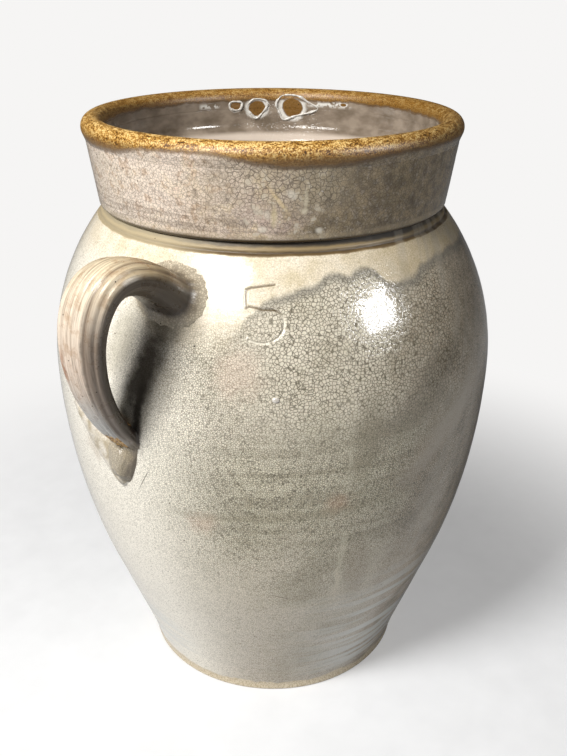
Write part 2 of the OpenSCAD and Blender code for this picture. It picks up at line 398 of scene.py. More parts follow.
# %% [markdown]
# ## The collar and the rim
# The collar was thrown as a band that flares a little, with a step inside on which a lid can rest. The rim
# is the band's top edge, folded over and rolled smooth under a finger: a full round whose outer flank runs
# down to the collar without a step. Both are turned by the same tree, with the same wobble, so that they
# stay seated on the wall below.

# %% Collar
collar_foot_radius, collar_foot_round, collar_top_radius = 120.2 * MM, 3.8 * MM, 126 * MM
mouth_radius, ledge_height, ledge_fall = 113.5 * MM, 382 * MM, 9 * MM
crock_height, rim_seat, rim_radius = 420 * MM, 405 * MM, 128.4 * MM
foot_bead = [(neck_radius + collar_foot_round * math.sin(a),
    neck_height + collar_foot_round * (1 - math.cos(a)), 0) for a in between(0.15, math.pi / 2, 9)]
outside_rows = [(collar_foot_radius + (collar_top_radius - collar_foot_radius) * t,
                 neck_height + collar_foot_round + (rim_seat - neck_height - collar_foot_round) * t, 0)
                for t in between(0.04, 0.985, 40)]
collar_profile = rounded(
    [(throat_radius + 2 * MM, neck_height, 0), (neck_radius, neck_height, 0)] + foot_bead + outside_rows
    + [(collar_top_radius, rim_seat, 0.1 * MM), (mouth_radius, rim_seat, 0.1 * MM),
       (mouth_radius, ledge_height + ledge_fall, 4 * MM), (throat_radius, ledge_height, 2.5 * MM),
       (throat_radius, neck_height, 0.5 * MM), (throat_radius + 2 * MM, neck_height, 0)], 1.6 * MM)
collar_glaze = bpy.data.materials.new("taupe_crackle_glaze")
collar = grow("collar_skin", throwing, polyline("collar_profile", collar_profile),
    {**traces, "Columns": 300, "Finish": collar_glaze})
dress(collar, "collar")

# %% Rim
roll = (rim_radius - mouth_radius) / 2
flank = Vector((collar_top_radius - mouth_radius - roll, rim_seat - crock_height + roll))
touch = math.atan2(flank.y, flank.x) + math.acos(roll / flank.length)
over = [(mouth_radius + roll + roll * math.cos(a), crock_height - roll + roll * math.sin(a), 0)
        for a in between(touch, math.pi, 42)]
rim_profile = rounded([(mouth_radius + 3 * MM, rim_seat, 0), (collar_top_radius, rim_seat, 0.1 * MM)] + over
                      + [(mouth_radius, rim_seat, 0.1 * MM), (mouth_radius + 3 * MM, rim_seat, 0)], 1.2 * MM)
bare_clay = bpy.data.materials.new("bare_ochre_clay")
rim = grow("rim_skin", throwing, polyline("rim_profile", rim_profile), {**traces, "Columns": 300,
    "Finish": bare_clay})
dress(rim, "rim")

# %% [markdown]
# ## The pulled handles
# A handle is a strap of clay pulled wet through the hand, which leaves ribs along it. It is pressed to the
# shoulder, looped down and pinched to the wall with a thumb. Its path is a cubic curve and then a short tab
# along the wall, and its width and thickness change on the way, so a second tree sweeps a rounded section
# that reads its size from the path. Where it meets the wall, the clay is flared out like a fillet, and the
# tab is raised around the hollow that the thumb pressed. The far handle is the same strap on the other side.

# %% Tree: pulled strap
pulling, given = new_tree("pulled_strap", [
    ("Path", "Geometry"), ("Points around", "Int"), ("Rib count", "Float"), ("Rib depth", "Float"),
    ("Calm side", "Float"), ("Fibre depth", "Float"), ("Squareness", "Float"), ("Finish", "Material")])
sheet, across, row = rolled_grid(given["Path"], given["Points around"])
angle = add(TIMES, across, 2 * math.pi)
cosine, sine = (add(MATH, angle, operation=kind) for kind in ("COSINE", "SINE"))
LANES = ("outward", "sideways", "width", "thickness", "ribbed", "length")
lanes = {}
for lane in LANES:
    kind = "FLOAT_VECTOR" if lane in ("outward", "sideways") else "FLOAT"
    value = add("GeometryNodeInputNamedAttribute", {"Name": lane}, data_type=kind)
    lanes[lane] = add("GeometryNodeSampleIndex", {"Geometry": given["Path"], "Value": value,
        "Index": row}, data_type=kind)
place = add("GeometryNodeInputPosition")
centre = add("GeometryNodeSampleIndex", {"Geometry": given["Path"], "Value": place, "Index": row},
    data_type="FLOAT_VECTOR")
powers = [add(MATH, add(MATH, v, operation="ABSOLUTE"), given["Squareness"], operation="POWER")
          for v in (cosine, sine)]
power = add(OVER, -1.0, given["Squareness"])
square = add(MATH, add(MATH, *powers), power, operation="POWER")
phase = add(TIMES, add(MATH, sine, 1.0), math.pi)
phase = add(TIMES, phase, given["Rib count"])
hollow = add(TIMES_PLUS, add(MATH, phase, operation="COSINE"), -0.5, 0.5)
hollow = add(MATH, hollow, 2.0, operation="POWER")
outer_face = add(MATH, cosine, 0.0, operation="MAXIMUM")
uneven = add(RANGE, sine, -0.5, 0.4, 1.0, given["Calm side"])
for factor in (outer_face, uneven, given["Rib depth"]):
    hollow = add(TIMES, hollow, factor)
half = {lane: add(TIMES, add(TIMES, lanes[lane], 0.5), square) for lane in ("width", "thickness")}
fibre = add(JOIN, add(TIMES, add(TIMES, half["width"], sine), 480.0), add(TIMES, lanes["length"], 9.0),
    add(TIMES, cosine, 4.0))
fibre = add(RANGE, add(NOISE, {"Vector": fibre, "Scale": 1.0, "Detail": 2.0}), 0.3, 0.7)
relief = add(TIMES_PLUS, fibre, given["Fibre depth"], hollow)
relief = add(TIMES, relief, lanes["ribbed"])
deepest = add(MATH, given["Rib depth"], given["Fibre depth"])
sunk = add(OVER, relief, deepest)
stand, spread = (add(TIMES, add(MINUS, half[lane], relief), turned)
                 for lane, turned in (("thickness", cosine), ("width", sine)))
section = add(VECTOR, *(add(VECTOR, {0: lanes[lane], "Scale": size}, operation="SCALE")
                        for lane, size in (("outward", stand), ("sideways", spread))))
marked = add(JOIN, spread, lanes["length"], cosine)
sheet = add("GeometryNodeStoreNamedAttribute", {"Geometry": sheet, "Name": "strap", "Value": marked},
    data_type="FLOAT_VECTOR", domain="POINT")
sheet = add("GeometryNodeStoreNamedAttribute", {"Geometry": sheet, "Name": "hollow", "Value": sunk},
    data_type="FLOAT", domain="POINT")
place = add(VECTOR, centre, section)
strap = add("GeometryNodeSetPosition", {"Geometry": sheet, "Position": place})
strap = add("GeometryNodeMergeByDistance", {"Geometry": strap, "Distance": 1e-6})
end_tree(strap, given["Finish"])
print("pulled_strap:", len(pulling.nodes), "nodes")

# %% Handle sizes and path
root_height, foot_height, tab_length = 327 * MM, 237 * MM, 32 * MM
root_angle, foot_angle, loop_angle, tab_angle = 4.3, -5.5, -5.0, -2.5
root_pull, root_rise, foot_pull, foot_rise = 73 * MM, 72 * MM, 54 * MM, 60 * MM
root_width, middle_width, foot_width, tab_width = 32 * MM, 34 * MM, 23 * MM, 11 * MM
root_thickness, foot_thickness, tab_share, settle = 23 * MM, 12.5 * MM, 0.24, 0.14


def beside(angle, z, out):
    """Point off the wall, at an angle from the X axis in degrees and a height."""
    a = math.radians(angle)
    return Vector(((wall_r(z) + out) * math.cos(a), (wall_r(z) + out) * math.sin(a), z))


def bezier(p, t):
    """Point on a cubic curve through four corners."""
    return (1 - t) ** 3 * p[0] + 3 * (1 - t) ** 2 * t * p[1] + 3 * (1 - t) * t * t * p[2] + t ** 3 * p[3]


loop_out = Vector((math.cos(math.radians(loop_angle)), math.sin(math.radians(loop_angle)), 0))
loop_side = Vector((-loop_out.y, loop_out.x, 0))
rise = Vector((0, 0, 1))
root_point = beside(root_angle, root_height, -0.6 * wall)
foot_point = beside(foot_angle, foot_height, -1 * MM)
tip_height = foot_height - tab_length
loop_path = [root_point, root_point + root_pull * loop_out + root_rise * rise,
             foot_point + foot_pull * loop_out + foot_rise * rise, foot_point]
tab_path = [foot_point, foot_point - settle * (foot_pull * loop_out + foot_rise * rise),
            beside(foot_angle + 0.8 * tab_angle, tip_height + 0.4 * tab_length, -1 * MM),
            beside(foot_angle + tab_angle, tip_height, -2 * MM)]


def path(t):
    """The strap's middle line: the loop first, then the tab along the wall."""
    if t < 1 - tab_share:
        return bezier(loop_path, t / (1 - tab_share))
    return bezier(tab_path, (t - 1 + tab_share) / tab_share)


def strap_size(t):
    """Width and thickness on the way, and how much of the ribs is left."""
    along, tab = min(t / (1 - tab_share), 1), max(0, (t - 1 + tab_share) / tab_share)
    swell = 1 + 0.15 * math.exp(-22 * t)
    width = (root_width * (1 - along) * (1 - 2 * along) + 4 * middle_width * along * (1 - along)
             + foot_width * along * (2 * along - 1))
    thick = root_thickness + (foot_thickness - root_thickness) * along
    pinch = tab ** 1.8
    return (width * swell * (1 - pinch) + tab_width * pinch,
        thick * swell * (1 - tab) + 0.7 * foot_thickness * tab, 1 - tab)


# %% Handles
stations = between(0.0, 0.07, 30) + between(0.075, 0.74, 88) + between(0.745, 1.0, 60)
rows = [0.0] + stations + [1.0]
lanes = {lane: [] for lane in LANES}
travelled, before = 0.0, path(0)
for number, t in enumerate(rows):
    heading = (path(min(t + 0.01, 1)) - path(max(t - 0.01, 0))).normalized()
    outward = heading.cross(loop_side).normalized()
    width, thick, ribbed = strap_size(t)
    if number in (0, len(rows) - 1):
        width = thick = 0.0
    travelled += (path(t) - before).length
    before = path(t)
    for lane, value in zip(LANES, (outward, heading.cross(outward), width, thick, ribbed, travelled)):
        lanes[lane].append(value)
handle_glaze = bpy.data.materials.new("thin_glaze_on_strap")
tab_line = [path(t) for t in between(1 - tab_share, 1, 40)]
root_end, foot_start = 0.25, 0.6        # shares of the strap's length that can lie on the wall
thumb_at, thumb_long = 0.865, 0.028     # shares of the strap's length
thumb_wide, thumb_deep, tab_lift = 5 * MM, 1.5 * MM, 3.2 * MM
root_reach, tab_reach, tab_tight = 8 * MM, 7 * MM, 2 * MM      # radii of the flare


def wall_gap(p):
    """Distance of a point from the body's outside, and the outward direction there."""
    z = min(max(p.z, 0), neck_height)
    tilt = math.asin((z - belly_height) / shoulder_curve) if z > belly_height else -lean * 0.5
    away = Vector((p.x, p.y, 0)).normalized() * math.cos(tilt) + rise * math.sin(tilt)
    return (math.hypot(p.x, p.y) - wall_r(z)) * math.cos(tilt), away


def ease(value, start, full):
    """Soft step from 0 at the start to 1 at the full value."""
    t = min(max((value - start) / (full - start), 0), 1)
    return t * t * (3 - 2 * t)


def settle_on_wall(mesh):
    """Flares the strap onto the wall at both ends, as smeared clay does, and presses in the thumb."""
    mesh.attributes.new("flare", "FLOAT", "POINT")
    flare, lane = mesh.attributes["flare"].data, mesh.attributes["strap"].data
    for vertex in mesh.vertices:
        side, share, face = lane[vertex.index].vector
        share /= travelled
        p = vertex.co.copy()
        off, skin = wall_gap(p)
        near_root = share < root_end
        if near_root:
            reach, middle = root_reach + 2 * MM * face, root_point
        else:
            reach = tab_reach if side > 0 else tab_tight
            middle = min(tab_line, key=lambda q: (q - p).length)
        if off < reach and (near_root or share > foot_start):
            gap = max(off, 0.0)
            flare[vertex.index].value = 1 - gap / reach if near_root else 0.0
            away = p - middle
            away -= skin * away.dot(skin)
            if away.length > 1e-6:
                moved = p + away.normalized() * (reach - math.sqrt(reach ** 2 - (reach - gap) ** 2))
                new_off, new_skin = wall_gap(moved)
                vertex.co = moved + new_skin * (off - new_off)
        if face > 0:
            press = math.exp(-((share - thumb_at) / thumb_long) ** 2 - (side / thumb_wide) ** 2)
            raised = face * ease(share, 0.85, 0.92) * ease(share, 1.0, 0.965)
            vertex.co += skin * (tab_lift * raised - thumb_deep * press)


handles = []
for node, spin in (("handle_near", math.pi), ("handle_far", 0.0)):
    name = node + "_skin"
    piece = grow(name, pulling, polyline(name + "_path", [path(t) for t in rows], **lanes),
        {"Points around": 96, "Rib count": 6.0, "Rib depth": 1.4 * MM, "Calm side": 0.3,
        "Fibre depth": 0.5 * MM, "Squareness": 2.5, "Finish": handle_glaze})
    settle_on_wall(piece.data)
    piece.data.transform(Matrix.Rotation(spin, 4, "Z"))
    dress(piece, node)
    handles.append(piece)
    print(node, "strap length %.0f mm" % (travelled / MM))

# %% [markdown]
# ## The thumb's smear
# Where the strap meets the wall, the potter's thumb drew a flange of wet clay down and sideways, which
# anchors the handle. It is thin, so the solids leave it out. Here it is a second, much flatter strap, swept
# by the same tree along a short path on the wall: angle from the handle's middle, height and width.

# %% Thumb smears
smear_path = [(-24.5, 246, 7), (-22, 241, 12), (-19, 235.5, 18), (-15.5, 229.5, 26), (-12.5, 222, 25),
    (-10.3, 213.5, 19), (-8.6, 206, 13), (-7.6, 201.5, 7)]
smear_sink, smear_thickness = 1.4 * MM, 8.4 * MM
line = [beside(angle, z * MM, -smear_sink) for angle, z, width in smear_path]
ways = [(line[min(i + 1, len(line) - 1)] - line[max(i - 1, 0)]).normalized() for i in range(len(line))]
outs = [wall_gap(p)[1] for p in line]
walls = [0] + list(range(len(line))) + [len(line) - 1]
widths = [0.0] + [width * MM for angle, z, width in smear_path] + [0.0]
smear_lanes = {
    "outward": [outs[i] for i in walls], "sideways": [ways[i].cross(outs[i]).normalized() for i in walls],
    "width": widths, "thickness": [min(w, smear_thickness) for w in widths], "ribbed": [0.0] * len(walls),
    "length": [0.25 + 0.005 * i for i in range(len(walls))]}
for name, spin in (("thumb_smear_near", math.pi), ("thumb_smear_far", 0.0)):
    piece = grow(name, pulling, polyline(name + "_path", [line[i] for i in walls], **smear_lanes),
        {"Points around": 48, "Rib count": 6.0, "Rib depth": 1.0 * MM, "Calm side": 1.0,
        "Fibre depth": 0.1 * MM, "Squareness": 2.2, "Finish": handle_glaze})
    piece.data.transform(Matrix.Rotation(spin, 4, "Z"))
    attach(piece, "root")

# %% [markdown]
# ## Beads of glaze inside the rim
# Where the dipped glaze drew back from the bare clay inside the mouth, it left windows with thick white
# edges. The edges stand proud and catch the light, so they are real shapes: closed loops laid on the
# mouth's wall, swept by a tree with a small round section whose thickness swells and thins along the way.

# %% Tree: glaze bead
beading, given = new_tree("glaze_bead", [("Line", "Geometry"), ("Bead radius", "Float"),
    ("Swelling", "Float"), ("Seed", "Float"), ("Finish", "Material")])
line = add("GeometryNodeMeshToCurve", given["Line"])
lump = add(NOISE, {"Vector": add("GeometryNodeInputPosition"), "W": given["Seed"], "Scale": 260.0},
    noise_dimensions="4D")
lump = add(RANGE, lump, 0.35, 0.65, 0.4, given["Swelling"])
profile = add("GeometryNodeCurvePrimitiveCircle", {"Resolution": 8, "Radius": given["Bead radius"]})
bead = add("GeometryNodeCurveToMesh", {"Curve": line, "Profile Curve": profile, "Scale": lump})
end_tree(bead, given["Finish"])
print("glaze_bead:", len(beading.nodes), "nodes")

# %% Windows in the glaze, on the mouth's far wall
# Outlines of the windows' edges: degrees from the back of the jar and millimetres above the table
window_edges = [[(-11.2, 406.5), (-9.2, 411.6), (-6.6, 412.6), (-3.5, 411), (-3.0, 407), (-4.8, 402.5),
    (-7.6, 397.6), (-9.8, 401.5)], [(3.8, 415.4), (1.3, 412), (0.6, 407.5), (1.8, 402), (3.8, 396.6),
    (8.5, 399.6), (14.5, 402.6), (17.6, 406), (13.5, 410.5), (9.5, 414.8)], [(-17.8, 410.6), (-18.3, 406.5),
    (-16.5, 404.2), (-14, 405.2), (-13.5, 410)]]
white_glaze = bpy.data.materials.new("thick_white_glaze")


def on_mouth(turn, z):
    """Point on the mouth's inner wall, counted from the back of the jar, with the rim's round above."""
    lift = z - crock_height + roll
    reach = mouth_radius + (roll - math.sqrt(max(roll ** 2 - lift ** 2, 0)) if lift > 0 else 0)
    a = front + math.pi - math.radians(turn)
    return Vector((reach * math.sin(a), -reach * math.cos(a), z))


def smooth_loop(corners, steps):
    """A closed round curve through the corners."""
    count, points = len(corners), []
    for i in range(count):
        a, b, c, d = (corners[(i + k - 1) % count] for k in range(4))
        for t in (j / steps for j in range(steps)):
            points.append(tuple(0.5 * (2 * q + (r - p) * t + (2 * p - 5 * q + 4 * r - u) * t * t
                                       + (3 * q - p - 3 * r + u) * t ** 3) for p, q, r, u in zip(a, b, c, d)))
    return points


for number, edge in enumerate(window_edges):
    loop = [on_mouth(turn, z * MM) for turn, z in smooth_loop(edge, 8)]
    piece = grow("glaze_window_%d" % (number + 1), beading, polyline("window", loop, closed=True), {
        "Bead radius": 0.8 * MM, "Swelling": 1.5, "Seed": float(number), "Finish": white_glaze})
    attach(piece, "root")

# %% [markdown]
# ## Iron specks and lumps
# Stoneware clay holds grains of iron that melt through the glaze as small dark spots, each a little raised.
# A third tree scatters them over the outer faces only, with a fixed seed, and lays a low dome on each spot.
# Two lumps of glaze are placed one by one: a pimple on the belly and a blob beside the handle's root.

# %% Tree: iron specks
peppering, given = new_tree("iron_specks", [("Ground", "Geometry"), ("Per square metre", "Float"),
    ("Seed", "Int"), ("Small", "Float"), ("Large", "Float"), ("Finish", "Material")])
level = add(VECTOR, add("GeometryNodeInputPosition"), (1.0, 1.0, 0.0), operation="MULTIPLY")
facing = add(VECTOR, add("GeometryNodeInputNormal"), add(VECTOR, level, operation="NORMALIZE"), out=1,
    operation="DOT_PRODUCT")
spots = add("GeometryNodeDistributePointsOnFaces", {"Mesh": given["Ground"],
    "Selection": add(MATH, facing, 0.3, operation="GREATER_THAN"), "Density": given["Per square metre"],
    "Seed": given["Seed"]})
dome = add("GeometryNodeMeshIcoSphere", {"Radius": 1.0, "Subdivisions": 2})
size = add("FunctionNodeRandomValue", {2: given["Small"], 3: given["Large"], "Seed": given["Seed"]}, out=1)
low = add(VECTOR, {0: (1.0, 1.0, 0.3), "Scale": size}, operation="SCALE")
peppered = add("GeometryNodeInstanceOnPoints", {"Points": spots, "Instance": dome,
    "Rotation": spots.node.outputs["Rotation"], "Scale": low})
end_tree(peppered, given["Finish"])
print("iron_specks:", len(peppering.nodes), "nodes")

# %% Specks on the body, the collar and the handles
iron = bpy.data.materials.new("iron_spots_in_glaze")
grounds = [(lower_body, 300, 3), (upper_body, 420, 5), (collar, 900, 8), (handles[0], 2200, 2),
    (handles[1], 2200, 4)]
for ground, density, seed in grounds:
    piece = grow("iron_specks_" + ground.name, peppering, ground.data.copy(),
        {"Per square metre": float(density), "Seed": seed, "Small": 0.2 * MM, "Large": 0.55 * MM,
        "Finish": iron})
    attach(piece, "root")

# %% Lumps of glaze
for name, place, wide, tall in (("belly_pimple", on_wall(1.3, 278 * MM), 2.3 * MM, 1.1 * MM),
                                ("root_blob", on_wall(-18.6, 333 * MM), 2.2 * MM, 1.3 * MM)):
    mesh = bpy.data.meshes.new(name)
    ball = bmesh.new()
    bmesh.ops.create_icosphere(ball, subdivisions=3, radius=1.0)
    ball.to_mesh(mesh)
    ball.free()
    skin = wall_gap(Vector(place))[1]
    mesh.transform(Matrix.Translation(place) @ skin.to_track_quat("Z", "Y").to_matrix().to_4x4()
                   @ Matrix.Diagonal((wide, wide * 0.75, tall, 1.0)))
    mesh.shade_smooth()
    mesh.materials.append(white_glaze)
    piece = bpy.data.objects.new(name, mesh)
    bpy.context.scene.collection.objects.link(piece)
    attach(piece, "root")
    print(name, "stands %.1f mm proud" % (tall / MM))

# %% [markdown]
# ## Coordinates for the glazes
# A glaze changes with height, because it was poured and ran down, and around the jar, because the fire
# reached its sides differently. Each glaze therefore reads the same four values from the object's own
# coordinates, in millimetres: the point, its turn from the front, its height and its distance from the
# axis. The turn runs back to zero behind the jar, so no seam shows there.

# %% Jar coordinates
def jar_space():
    """The point in mm, its turn from the front in degrees, its height and its radius."""
    held = add("ShaderNodeTexCoord", out="Object")
    point = add("ShaderNodeMapping", {"Vector": held, "Rotation": (0, 0, -front),
        "Scale": (1000, 1000, 1000)})
    part = add(SPLIT, point).node.outputs
    flat = add(VECTOR, point, (1, 1, 0), operation="MULTIPLY")
    radius = add(VECTOR, flat, out=1, operation="LENGTH")
    turn = add(MATH, add(OVER, part["X"], radius), operation="ARCSINE")
    return (point, add(MATH, turn, operation="DEGREES"), part["Z"], radius)


def start_shader(owner):
    """Begins the tree of a material, or of the world, with no nodes in it."""
    owner.use_nodes = True
    owner.node_tree.nodes.clear()
    trees.append(owner.node_tree)


def end_glaze(colour, roughness, relief, depth, **fixed):
    """Closes a material with its colour, gloss and fine relief; what is the same all over is set directly."""
    normal = add("ShaderNodeBump", {"Height": relief, "Strength": 1.0, "Distance": depth})
    shader = add("ShaderNodeBsdfPrincipled", {"Base Color": colour, "Roughness": roughness,
        "Normal": normal, **fixed})
    add("ShaderNodeOutputMaterial", {"Surface": shader})


def blend(factor, under, over, strength=None):
    """Lays one colour over another, the second given as a hex code or as a socket."""
    factor = add(TIMES, factor, strength) if strength else factor
    over = hue(over) if isinstance(over, str) else over
    return add(MIX, {0: factor, 6: under, 7: over}, out=2, data_type="RGBA")


def window_of(edges, strength=1.0, kind=EASED):
    """Product of steps: each is a value, where the effect starts and where it is full."""
    whole = None
    for value, start, full in edges:
        step = add(kind, value, start, full, 0.0, strength if whole is None else 1.0)
        whole = step if whole is None else add(TIMES, whole, step)
    return whole


def layer(colour, tint, strength, *edges, kind=EASED):
    """Lays a tint over the colour where every value runs from its start to its full effect."""
    return blend(window_of(edges, strength, kind), colour, tint)


def crazing(point, size, sway, line):
    """Crackle of one cell size in mm: how near a crack is, from 0 to 1, and a random tone for each cell."""
    swirl = add(NOISE, {"Vector": point, "Scale": 0.4 / size, "Detail": 2.0}, out=1)
    bent = add(VECTOR, swirl, (sway, sway, sway), point, operation="MULTIPLY_ADD")
    cells = {"Vector": bent, "Scale": 1 / size, "Randomness": 0.85}
    edge = add(CELLS, cells, feature="DISTANCE_TO_EDGE")
    crack = add(EASED, edge, 0.0, line, 1.0, 0.0)
    return crack, add(SPLIT, add(CELLS, cells, out="Color"))


def brush(colour, point, turn, height, per_degree, cloud, strokes):
    """Paints soft strokes on the front: turn, height, tilt, half length, half width, strength, colour."""
    behind = add(MATH, add(SPLIT, point, out="Y"), 0.0, operation="MAXIMUM")
    unrolled = add(JOIN, add(TIMES, turn, per_degree), height, behind)
    for at_turn, at_height, tilt, long, wide, strength, tint in strokes:
        place = add("ShaderNodeMapping", {
            "Vector": unrolled, "Location": (at_turn * per_degree, at_height, 0),
            "Rotation": (0, 0, math.radians(tilt)), "Scale": (long, wide, 1)}, vector_type="TEXTURE")
        gap = add(MATH, add(VECTOR, place, out=1, operation="LENGTH"), cloud)
        colour = layer(colour, tint, strength, (gap, 1.6, 0.8))
    return colour


# %% [markdown]
# ## The crazed ash glaze
# The body's glaze is wood ash and clay, melted to a grey-beige glass that crazed into cells of about two
# millimetres as it cooled. Dirt has darkened the cracks, most of all at the front. Lower down the glaze is
# smoother and pinkish. Voronoi cells give the crackle, and slow noises let every zone drift into the next.

# %% Ash glaze: base and crackle
start_shader(ash_glaze)
point, turn, height = jar_space()[:3]
drift = add(NOISE, {"Vector": point, "Scale": 1 / 45, "Detail": 3.0})
cloud = add(NOISE, {"Vector": point, "Scale": 1 / 14, "Detail": 4.0, "Roughness": 0.6})
grain = add(NOISE, {"Vector": point, "Scale": 1 / 1.1, "Detail": 1.0})
wheel = add(VECTOR, point, (0.006, 0.006, 0.1), operation="MULTIPLY")
rings = add(NOISE, {"Vector": wheel, "Scale": 1.0, "Detail": 2.0})
crack, tone = crazing(point, 2.1, 1.0, 0.15)
fine_crack, fine_tone = crazing(point, 1.35, 0.7, 0.2)

aside = add(MATH, add(MINUS, turn, 16.0), operation="ABSOLUTE")
ragged = add(TIMES_PLUS, drift, 90.0, height)
colour = add(RAMP, add(RANGE, ragged, 45.0, 405.0), stops=[(0.0, "#cabfb0"), (0.2, "#d2c8b8"),
    (0.42, "#d4cab6"), (0.52, "#c9c1a8"), (0.64, "#d0c8b0"), (0.74, "#e2d8c5"), (0.83, "#ebe1cf"),
    (0.96, "#ebe1ce")])
colour = layer(colour, "#b3a991", 0.5, (cloud, 0.5, 0.75), kind=RANGE)  # clouds
colour = layer(colour, "#9a9179", 0.5, (drift, 0.5, 0.68), kind=RANGE)  # slow drifts
# Darker throwing bands
colour = layer(colour, "#8b836b", 0.55, (height, 155.0, 180.0), (height, 275.0, 225.0),
    (rings, 0.45, 0.58), (turn, -28.0, -8.0))
colour = layer(colour, "#faf4e7", 0.95, (turn, -3.0, -36.0))  # painted light: paler on the left, the side towards the lamps
brown = add(EASED, add(TIMES_PLUS, drift, 40.0, turn), 41.0, 70.0, 0.0, 0.85)
colour = blend(brown, colour, add(RAMP, cloud, stops=[(0.35, "#8d7c69"), (0.5, "#ac9a85"),
    (0.65, "#c6b5a0")]))
lower = add(EASED, ragged, 235.0, 150.0)
coarse = window_of([(turn, -16.0, 6.0), (turn, 66.0, 46.0), (height, 225.0, 285.0)])
mixed_crack = add(MIX, {0: coarse, 2: fine_crack, 3: crack})
mixed_tone = add(MIX, {0: coarse, 2: fine_tone, 3: tone})
show = add(EASED, turn, -42.0, -6.0, 0.45, 1.0)
show = add(TIMES, show, add(TIMES, add(EASED, aside, 25.0, 75.0, 1.0, 0.75),
    add(RANGE, lower, 0.0, 1.0, 1.0, 0.5)))
colour = blend(coarse, colour, "#918973", 0.28)  # greyer under the coarse crackle
lit_cell = add(TIMES, add(RANGE, mixed_tone, 0.0, 1.0, 0.05, 0.3), show)
colour = blend(lit_cell, colour, "#efebd9")
dirt = add(TIMES, mixed_crack, show)
colour = blend(dirt, colour, "#453e2e", 0.85)
colour = layer(colour, "#7d7463", 0.5, (grain, 0.5, 0.72), kind=RANGE)  # fine grain

# %% [markdown]
# ## Cream shoulder, olive groove and tan foot
# A cream slip shows on the shoulder above a scalloped edge, with a thin dark line where the two glazes met.
# The glaze pools olive brown in the turned groove and under the collar, where painted shade darkens the
# band right under the collar's foot, and thins to tan where the foot was wiped. The scallops are a curve
# drawn around the jar, with noise laid on it.

# %% Ash glaze: zones by height
around = add(RANGE, turn, -180.0, 180.0)
scallop = add(CURVE, {"Value": around}, stops=[(0, 0.7), (0.33, 0.7), (0.39, 0.55), (0.43, 0.2),
    (0.453, 0.14), (0.484, 0.44), (0.5, 0.64), (0.522, 0.74), (0.535, 0.8), (0.545, 0.88), (0.553, 0.86),
    (0.558, 0.84), (0.565, 0.9), (0.58, 0.86), (0.592, 0.7), (0.61, 0.72), (0.633, 0.82), (0.68, 0.84),
    (0.8, 0.76), (1, 0.7)])
edge = add(TIMES_PLUS, scallop, 50.0, 297.0)
edge = add(TIMES_PLUS, cloud, 7.0, edge)
above = add(MINUS, height, edge)
# Thin dark line under the cream
colour = layer(colour, "#77736a", 0.62, (above, -7.0, -1.5), (above, 2.0, 0.0), (turn, -8.0, 4.0))
fading = add(EASED, turn, -4.0, -13.0, 1.0, 8.0)
cream = add(EASED, add(OVER, above, fading), -1.5, 2.5)
cream_tone = add(RAMP, cloud, stops=[(0.3, "#f2ead9"), (0.5, "#ece0ca"), (0.66, "#dccfb3")])
cream_tone = layer(cream_tone, "#bba987", 0.65, (turn, 12.0, 45.0))  # tanned towards the right
cream_tone = blend(fine_crack, cream_tone, "#8a7a5a", 0.32)
cream_tone = layer(cream_tone, "#93835f", 0.35, (grain, 0.5, 0.72), kind=RANGE)
colour = blend(cream, colour, cream_tone)
uneven = add(TIMES_PLUS, cloud, 2.4, height)
# The olive glaze pools in the groove; the darkest stops at the top paint the shade right under the collar's
# foot
pooled_glaze_and_shade = add(RAMP, add(RANGE, uneven, 354.0, 363.0), stops=[(0.1, "#b5a27c"), (0.2, "#6a5636"),
    (0.32, "#463722"), (0.44, "#7d6a48"), (0.58, "#8a7650"), (0.7, "#463a26"), (0.82, "#382e1f"),
    (0.95, "#2c251c")])
pooled_glaze_and_shade = layer(pooled_glaze_and_shade, "#c9bb9c", 0.55, (turn, -10.0, -36.0))  # paler on the left
in_groove = add(EASED, uneven, 354.8, 355.6)
colour = blend(in_groove, colour, pooled_glaze_and_shade)
worn = add(TIMES_PLUS, cloud, -12.0, height)
foot_tone = add(RAMP, grain, stops=[(0.35, "#bba98a"), (0.6, "#dfd2b8")])
colour = blend(add(EASED, worn, 3.6, 1.8), colour, foot_tone)

# %% [markdown]
# ## Runs, smears and the scratched mark
# The jar's own history is painted last: a faint run of glaze down the front, a smear around the handle's
# root, pink blushes where the body shows through, milky streaks along the throwing lines and paler wipes
# on the right side. Soft strokes add smudges on the right and two thin scratches, and dark strokes beside
# the handle paint its shadow on the wall and the shade under its root. The scratched mark reads the value
# that the throwing tree stored: dark above, and pale below, partly glaze filling the groove and partly a
# painted highlight where the groove catches the light.

# %% Ash glaze: the jar's own marks
body_degree, collar_degree = 2.6, 2.13      # mm along the wall for each degree
unrolled = add(JOIN, add(TIMES, turn, body_degree), height)
slant = add("ShaderNodeMapping", {"Vector": unrolled, "Rotation": (0, 0, math.radians(62)),
    "Scale": (80, 13, 1)}, vector_type="TEXTURE")
wipe = add(EASED, add(NOISE, {"Vector": slant, "Scale": 1.0, "Detail": 3.0}), 0.45, 0.6)
right_side = window_of([(turn, 24.0, 48.0), (turn, 120.0, 90.0), (height, 100.0, 160.0)])
wipe = add(TIMES, wipe, right_side)
colour = blend(wipe, colour, "#a9a294", 0.4)
streaks = add(VECTOR, point, (0.014, 0.014, 0.19), operation="MULTIPLY")
streaks = add(EASED, add(NOISE, {"Vector": streaks, "Scale": 1.0, "Detail": 3.0}), 0.42, 0.58)
for start, full, top in ((0.0, 38.0, 138.0), (-26.0, -50.0, 75.0)):
    milky = window_of([(turn, start, full), (height, 8.0, 22.0), (height, top, top * 0.6)])
    milky = add(TIMES, milky, add(RANGE, streaks, 0.0, 1.0, 0.1, 1.0))
    colour = blend(milky, colour, "#d3d5d1", 0.8)
lane = add(TIMES_PLUS, cloud, 5.0, turn)
lane = add(MATH, add(MINUS, lane, 20.5), operation="ABSOLUTE")
